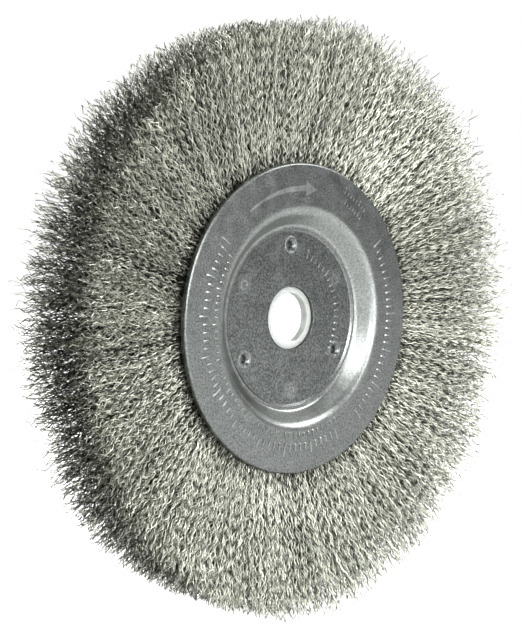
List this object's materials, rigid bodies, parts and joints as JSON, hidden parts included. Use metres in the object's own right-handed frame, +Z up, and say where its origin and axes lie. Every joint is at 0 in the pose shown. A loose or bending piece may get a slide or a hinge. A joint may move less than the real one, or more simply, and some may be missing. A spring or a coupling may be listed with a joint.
{
  "type": "crimped wire wheel brush",
  "caption": "Crimped wire wheel brush with stamped face plates and a removable reducer bush, clamped on a grinder's arbor to clean and deburr metal.",
  "frame": {"origin": "middle of the wheel: on the bore's axis, halfway between the two faces of the wire fill", "axes": "+Y along the bore towards the rear face, the front face looks along -Y, +Z up"},
  "size_m": [0.1524, 0.021, 0.1524],
  "materials": {
    "plate_steel": "dull pressed sheet steel, mottled, with bright stamped edges",
    "ring_steel": "plain drawn wire",
    "fill_wire": "fine crimped stainless wire, bright with a warm tint",
    "bush_plastic": "milky translucent moulded plastic"
  },
  "bodies": {
    "wheel": {"front_face_plate": "plate_steel", "rear_face_plate": "plate_steel", "core_ring": "ring_steel", "wire_bundle_01": "fill_wire", "wire_bundle_02": "fill_wire", "wire_bundle_03": "fill_wire", "wire_bundle_04": "fill_wire", "wire_bundle_05": "fill_wire", "wire_bundle_06": "fill_wire", "wire_bundle_07": "fill_wire", "wire_bundle_08": "fill_wire", "wire_bundle_09": "fill_wire", "wire_bundle_10": "fill_wire", "wire_bundle_11": "fill_wire", "wire_bundle_12": "fill_wire", "wire_bundle_13": "fill_wire", "wire_bundle_14": "fill_wire", "wire_bundle_15": "fill_wire", "wire_bundle_16": "fill_wire", "wire_bundle_17": "fill_wire", "wire_bundle_18": "fill_wire", "wire_bundle_19": "fill_wire", "wire_bundle_20": "fill_wire", "wire_bundle_21": "fill_wire", "wire_bundle_22": "fill_wire", "wire_bundle_23": "fill_wire", "wire_bundle_24": "fill_wire"},
    "bush": {"arbor_bush": "bush_plastic"}
  },
  "joints": [
    {"name": "bush_slide", "type": "slide", "parent": "wheel", "child": "bush", "axis": [0, -1, 0], "range_m": [0, 0.012]}
  ]
}
